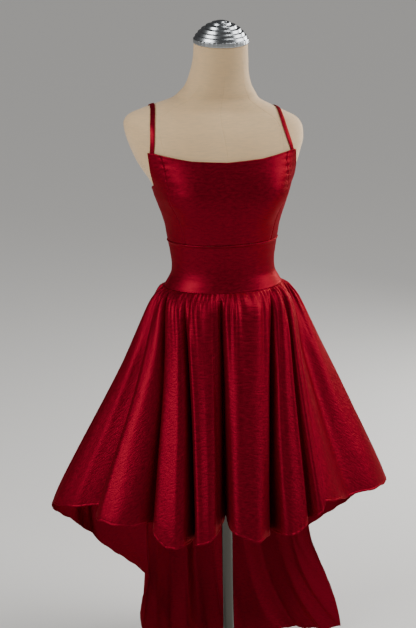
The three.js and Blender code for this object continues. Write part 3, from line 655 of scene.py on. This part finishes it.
def strap_piece(name, node, side):
    """A flat section with rounded edges, x = |cos|^0.55 and y = |sin|^0.7 with their signs, carried along a
    path over the shoulder. A shallow groove near each edge is the line of stitches."""
    front_angle, front_z = strap_climb(STRAP_FRONT_X, STRAP_FRONT_Z)
    back_angle, back_z = strap_climb(STRAP_BACK_X, STRAP_BACK_Z)
    angle = side * np.concatenate([front_angle, (180 - back_angle)[:-1][::-1]])
    height = np.concatenate([front_z, back_z[:-1][::-1]])
    from_end = np.minimum(np.arange(len(angle)), np.arange(len(angle))[::-1])
    lift = STRAP_END_EASE + (STRAP_EASE - STRAP_END_EASE) * ease(from_end, 2, 9)
    path = over_form(angle, height, lift)
    out = unit(over_form(angle, height, np.full(len(angle), 1.0)) - form_skin(angle, height))
    ahead = unit(np.gradient(path, axis=0))
    out = unit(out - ahead * (out * ahead).sum(-1, keepdims=True))
    across = np.cross(ahead, out)
    turn = np.linspace(0, 2 * math.pi, 28, endpoint=False)
    flat_across = np.sign(np.cos(turn)) * np.abs(np.cos(turn)) ** 0.55 * STRAP_WIDTH / 2
    flat_out = np.sign(np.sin(turn)) * np.abs(np.sin(turn)) ** 0.7 * STRAP_THICK / 2 + STRAP_THICK / 2
    on_outside = flat_out > STRAP_THICK / 2
    stitches = bell(np.abs(flat_across) - STRAP_WIDTH * STITCH_PLACE, STITCH_WIDTH) * on_outside
    flat_out = flat_out - STITCH_DIP * stitches
    points = path[:, None] + across[:, None] * flat_across[:, None] + out[:, None] * flat_out[:, None]
    front_ring = list(range(len(turn)))
    back_ring = [(len(path) - 1) * len(turn) + k for k in front_ring]
    faces = grid_faces(len(path), len(turn), closed=True) + [front_ring, back_ring[::-1]]
    run = np.concatenate([[0], np.cumsum(np.linalg.norm(np.diff(path, axis=0), axis=-1))])
    uv = np.stack(np.broadcast_arrays(flat_across[None, :] * MM, run[:, None] * MM), -1)
    strip = put_mesh(name, points.reshape(-1, 3), faces, taut_satin, uv.reshape(-1, 2))
    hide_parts(node)


strap_piece("shoulder_strap_left", "strap_left", 1)
strap_piece("shoulder_strap_right", "strap_right", -1)


# ---- Skirt ----
# Three wide panels cut from a ring of cloth, gathered into the waist seam and left to fall: short in front,
# and longer and longer behind until the tail hangs just clear of the floor. The hem is rolled and stitched
# 4.6 mm above its edge.
FOLDS = [
    # name, angle at the waist, angle and distance at the knee, the same at the foot, hem height, tight
    ("right side crest", -91, -90, 408, -90, 408, 488, 0),
    ("right hollow", -84, -73, 314, -73, 314, 510, 0.5),
    ("first crest", -77, -61.5, 366, -61.5, 366, 509, 0),
    ("first hollow", -69, -46, 250, -46, 250, 500, 1),
    ("second crest", -57, -36, 302, -36, 302, 466, 0),
    ("second hollow", -45, -27, 204, -27, 204, 470, 1),
    ("third crest", -28, -18, 286, -18, 286, 482, 0),
    ("mid hollow", -10, -11.5, 176, -11.5, 176, 504, 1),
    ("mid crest", 15, 2, 287, 2, 287, 479, 0),
    ("fifth hollow", 40, 13, 204, 13, 204, 478, 1),
    ("fifth crest", 47, 20.5, 289, 20.5, 289, 482, 0),
    ("sixth hollow", 54, 30.5, 258, 30.5, 258, 500, 1),
    ("sixth crest", 62, 35, 308, 35, 308, 534, 0),
    ("left hollow", 74, 55, 312, 55, 312, 512, 0.1),
    ("left side crest", 90, 81, 380, 81, 380, 500, 0),
    ("left rear hollow", 101, 94, 338, 94, 338, 462, 0.3),
    ("left rear crest", 112, 106, 338, 106, 338, 392, 0),
    ("left tail gap", 124, 123, 276, 123, 274, 298, 0.3),
    ("left tail crest", 132, 132, 244, 115, 350, 16, 0),
    ("ninth hollow", 141, 141, 234, 119, 306, 12, 0.1),
    ("ninth crest", 151, 151, 240, 130, 276, 10, 0),
    ("tenth hollow", 160.5, 161, 212, 140, 226, 10, 0.1),
    ("tenth crest", 170, 169, 226, 155, 214, 10, 0),
    ("middle back hollow", 180, 180, 208, 172, 190, 10, 0.1),
    ("eleventh crest", 190, 191, 226, 185, 212, 10, 0),
    ("eleventh hollow", 199.5, 200, 200, 200, 200, 10, 0.1),
    ("twelfth crest", 209, 210, 226, 208, 240, 10, 0),
    ("twelfth hollow", 219, 219, 222, 214, 258, 12, 0.1),
    ("right tail crest", 228, 227, 228, 217.5, 292, 20, 0),
    ("right tail gap", 236, 237, 208, 227, 226, 204, 0.3),
    ("right rear crest", 248, 247, 330, 247, 326, 344, 0),
    ("right rear hollow", 259, 258, 348, 258, 344, 396, 0.2),
    ("right side crest again", 269, 270, 408, 270, 408, 488, 0),
]
FOLD_TABLE = np.array([row[1:] for row in FOLDS], float)
WAIST_ANGLE, KNEE_ANGLE, KNEE_OUT, FOOT_ANGLE, FOOT_OUT, HEM_HEIGHT, TIGHT = range(7)
CREST_SHAPES = [
    # row in the fold table, squareness before and after the crest (2 is a circle), fall across its top
    (2, 2.0, 4.0, 0.30),
    (4, 6.0, 6.0, 0.0),
    (6, 6.0, 3.0, 0.16),
    (8, 6.0, 1.4, 0.0),
    (10, 4.0, 4.0, 0.08),
    (12, 5.0, 3.0, 0.0),
]
TIGHT_SWING = 0.75  # share of a sine, instead of even steps, in the turn from a crest to a tight gap
KNEE, KNEE_SOFT, TAIL_BEND = 480, 0.05, 3
PUFF_CREST, PUFF_HOLLOW, PUFF_OVER, PUFF_FADE, PUFF_LEAN = 25, 9, 18, 2.5, 1.5


def fold_at(u):
    """Rounds the fold table into curves. u is a place in the table. From a crest to the next hollow the
    reach falls as a cosine squared where the hollow is round. Where it is a tight gap it falls as the root
    of 1 - sin^p, a quarter circle for p = 2 and a flat top with a steep side for a larger p. Returns the
    table's columns, with the share of a crest's height in place of tight."""
    i = np.clip(np.floor(u).astype(int), 0, len(FOLDS) - 2)
    t = u - i
    crest = np.where(i % 2 == 0, i, i + 1)
    hollow = np.where(i % 2 == 0, i + 1, i)
    turn = np.where(i % 2 == 0, t, 1 - t) * math.pi / 2
    tight = FOLD_TABLE[hollow, TIGHT]
    towards = (1 - TIGHT_SWING * tight) * turn / (math.pi / 2) + TIGHT_SWING * tight * np.sin(turn)
    square, fall = np.full(u.shape, 2.0), np.zeros(u.shape)
    for row, before, after, across in CREST_SHAPES:
        square = np.where(crest == row, np.where(hollow < row, before, after), square)
        fall = np.where(crest == row, across * (hollow > row), fall)
    tight_side = (1 - fall * towards) * np.sqrt(1 - np.minimum(1, np.sin(turn)) ** square)
    high = (1 - tight) * np.cos(turn) ** 2 + tight * tight_side
    at_crest, at_hollow = FOLD_TABLE[crest], FOLD_TABLE[hollow]
    waist, knee, foot, hem = (at_crest[..., k] + (at_hollow[..., k] - at_crest[..., k]) * towards
                              for k in (WAIST_ANGLE, KNEE_ANGLE, FOOT_ANGLE, HEM_HEIGHT))
    knee_out, foot_out = (at_hollow[..., k] + (at_crest[..., k] - at_hollow[..., k]) * high
                          for k in (KNEE_OUT, FOOT_OUT))
    return waist, knee, knee_out, foot, foot_out, hem, high


def polar(angle, distance):
    """Place on the floor plan: x = d sin a, y = -d cos a."""
    a = np.radians(angle)
    return np.stack([distance * np.sin(a), -distance * np.cos(a)], -1)


def skirt_surface(u, drop):
    """Surface of the skirt below the waist seam. A point runs straight from its place on the waist to its
    place at the knee, then the tail swings to its place at the foot by a power of the way down. The
    gathers push the top outwards by a puff that grows under the seam and fades towards the knee."""
    waist_angle, knee_angle, knee_out, foot_angle, foot_out, hem, high = fold_at(u)
    waist_z = np.full(u.shape, float(WAIST_SEAM))
    waist = over_form(waist_angle, waist_z, np.full(u.shape, CLOTH_OUT))[..., :2]
    share = drop / (WAIST_SEAM - KNEE)
    flare = share - KNEE_SOFT * np.log1p(np.exp((share - 1) / KNEE_SOFT))
    hang = np.clip((KNEE - WAIST_SEAM + drop) / np.maximum(KNEE - hem, 1), 0, 1)
    puff = (PUFF_HOLLOW + (PUFF_CREST - PUFF_HOLLOW) * high) * (1 - np.exp(-drop / PUFF_OVER))
    puff = puff * np.maximum(0, 1 - share) ** (PUFF_FADE - PUFF_LEAN * np.sin(np.radians(waist_angle)))
    knee, foot = polar(knee_angle, knee_out), polar(foot_angle, foot_out)
    flat = waist * (1 - flare)[..., None] + knee * flare[..., None] + unit(waist) * puff[..., None]
    flat = flat + (foot - knee) * (np.where(hem < KNEE, hang, 0) ** TAIL_BEND)[..., None]
    return np.concatenate([flat, (WAIST_SEAM - drop)[..., None]], -1), waist_angle, hem


GATHERS_ROUND = 66
SHORT_RISE, SHORT_REACH, LONG_RISE, LONG_REACH = 3.3, 30, 3.4, 85


def gathers(angle, drop):
    """Height of the gathers: pinched valleys and round ridges, 2 |sin| - 1, and a second set of longer soft
    ones. Sums of sines make their spacing, size and length wander round the waist."""
    a = np.radians(angle)
    phase = GATHERS_ROUND * a / 2 + 1.7 * np.sin(3 * a + 1)
    phase = phase + 1.1 * np.sin(7 * a + 2.1) + 0.8 * np.sin(13 * a)
    size = 1 + 0.4 * np.sin(9 * a + 0.7) + 0.25 * np.sin(23 * a + 2)
    reach = SHORT_REACH * (1 + 0.45 * np.sin(8 * a + 1.9) + 0.3 * np.sin(19 * a))
    short = SHORT_RISE * size * (2 * np.abs(np.sin(phase)) - 1) * np.exp(-drop / reach)
    long_phase = 12 * a + 1.2 * np.sin(4 * a + 0.4) + 0.7 * np.sin(11 * a + 1.0)
    long_reach = LONG_REACH * (1 + 0.4 * np.sin(5 * a + 0.5))
    long = LONG_RISE * (2 * np.abs(np.sin(long_phase)) - 1) * np.exp(-drop / long_reach) * ease(drop, 4, 40)
    return (short + long) * ease(drop, -3, 12)


CREASES = [
    # place in the fold table at the waist and at the hem, half width in mm, rise, first and last drop
    (0.55, 0.5, 16, 3.0, 140, 520),
    (1.5, 1.5, 14, -3.0, 200, 470),
    (2.45, 2.4, 20, -2.0, 150, 480),
    (3.1, 3.25, 9, -3.5, 90, 400),
    (4.55, 4.5, 9, -3.0, 120, 520),
    (5.5, 5.6, 8, 3.5, 60, 520),
    (6.5, 6.4, 9, -3.0, 40, 420),
    (7.5, 7.6, 18, -1.5, 60, 520),
    (8.5, 8.55, 11, 3.0, 90, 520),
    (9.6, 9.7, 9, -3.0, 60, 380),
    (10.4, 10.5, 9, 4.0, 60, 420),
    (11.0, 11.0, 11, 7.0, 60, 520),
    (11.5, 11.5, 10, 3.5, 80, 420),
    (12.8, 13.0, 40, -9.0, 110, 520),
    (13.4, 13.5, 24, 2.5, 120, 520),
    (15.4, 15.4, 22, -4.0, 120, 600),
    (17.2, 17.3, 16, 3.0, 90, 420),
    (19.5, 19.6, 20, 4.0, 60, 420),
    (21.4, 21.4, 18, -5.0, 60, 400),
    (23.5, 23.6, 18, 5.0, 60, 420),
    (25.5, 25.5, 20, -5.0, 60, 380),
    (27.4, 27.5, 18, 4.0, 60, 420),
    (29.6, 29.5, 16, -4.0, 100, 500),
    (30.6, 30.5, 24, 5.0, 120, 520),
]
CREASE_LENGTH = 500  # drop over which a crease drifts and widens


def creases(u, drop, run):
    """Soft ridges and troughs, listed one by one. Each is a bell across the cloth that drifts from its place
    at the waist to its place at the hem, widens on the way, and fades in and out along its length."""
    relief = np.zeros(u.shape)
    per_row = np.gradient(run, axis=1) / np.gradient(u, axis=1)
    for at_waist, at_hem, width, rise, first_drop, last_drop in CREASES:
        share = np.clip(drop / CREASE_LENGTH, 0, 1)
        offset = (u - at_waist - (at_hem - at_waist) * share) * per_row
        fade_in = ease(drop, first_drop - 50, first_drop + 40)
        fade_out = 1 - ease(drop, last_drop - 30, last_drop + 120)
        window = fade_in * fade_out
        spread = width * (0.55 + 0.45 * share)
        relief = relief + rise * window * bell(offset, spread)
    return relief


# Rows of points lie close together under the waist seam and above the hem, at these distances from each.
NEAR_TOP = np.array([0.2, 1.2, 2.6, 4.2, 6.2, 8.6, 11.5, 15, 19, 24, 30, 37, 45])
NEAR_HEM = np.array([26, 20, 15, 11, 8.5, 7, 6, 5.2, 4.5, 3.8, 3, 2.2, 1.4, 0.7, 0.2, 0])
HEM_ROLL, HEM_ROLL_UP, HEM_ROLL_WIDTH = 0.6, 1.6, 1.9
HEM_STITCH_DIP, HEM_STITCH_UP, HEM_STITCH_WIDTH = 0.5, 4.6, 0.7
HEM_PUCKER, HEM_PUCKER_REACH, HEM_RIPPLE, HEM_RIPPLE_REACH = 0.9, 9, 1.3, 14
BROAD_SWELL, NARROW_SWELL = 1.8, 1.0
CUT_LENGTH = 1.05  # length of the flat cut for each unit of drop


def skirt_panel(name, node, first, last, columns, middle_rows, fan_from, fan_to, waist_cut):
    """One panel of the skirt between two rows of the fold table, with gathers, creases, hem and soft
    unevenness. Its cut is a piece of a ring, so the grain turns across it: uv = radius (sin f, -cos f)."""
    one_row = np.linspace(first, last, columns)[None, :]
    full = WAIST_SEAM - fold_at(one_row)[HEM_HEIGHT]
    share = np.linspace(0, 1, middle_rows + 2)[1:-1, None]
    middle_drop = NEAR_TOP[-1] + (full - NEAR_HEM[0] - NEAR_TOP[-1]) * share
    drop = np.concatenate([NEAR_TOP[:, None] + 0 * full, middle_drop, full - NEAR_HEM[:, None]])
    u = np.broadcast_to(one_row, drop.shape)
    points, angle, hem = skirt_surface(u, drop)
    to_hem = WAIST_SEAM - hem - drop
    run = row_lengths(points)
    hem_run = run[-1:]
    relief = gathers(angle, drop) + creases(u, drop, run)
    hem_roll = HEM_ROLL * bell(to_hem - HEM_ROLL_UP, HEM_ROLL_WIDTH)
    hem_roll = hem_roll - HEM_STITCH_DIP * bell(to_hem - HEM_STITCH_UP, HEM_STITCH_WIDTH)
    pucker = np.sin(hem_run / 2.3 + 1.5 * np.sin(hem_run / 31)) * (0.6 + 0.4 * np.sin(hem_run / 57))
    near_hem = np.exp(-to_hem / HEM_PUCKER_REACH)
    relief = relief + hem_roll + HEM_PUCKER * pucker * near_hem * ease(to_hem, -2, 3)
    relief = relief + BROAD_SWELL * soft_noise(angle / 6, drop / 120, 21) * ease(drop, 60, 200)
    relief = relief + NARROW_SWELL * soft_noise(hem_run / 22, drop / 60, 22) * ease(drop, 20, 120)
    ripple = np.sin(hem_run / 9 + 2 * np.sin(hem_run / 41))
    points[..., 2] += HEM_RIPPLE * ripple * np.exp(-to_hem / HEM_RIPPLE_REACH)
    fan = np.radians(fan_from + (fan_to - fan_from) * (hem_run / hem_run[0, -1]))
    radius = waist_cut / np.radians(abs(fan_to - fan_from)) + drop * CUT_LENGTH
    uv = np.stack([radius * np.sin(fan), -radius * np.cos(fan)], -1) * MM
    sewn_cloth(name, points, relief, uv, node, "gathered")


skirt_panel("skirt_panel_front", "skirt_front", 0, 14, 400, 62, -55, 55, 560)
skirt_panel("skirt_panel_rear_left", "skirt_back_left", 14, 23, 300, 92, -44, 0, 260)
skirt_panel("skirt_panel_rear_right", "skirt_back_right", 23, 32, 300, 92, 0, 44, 260)
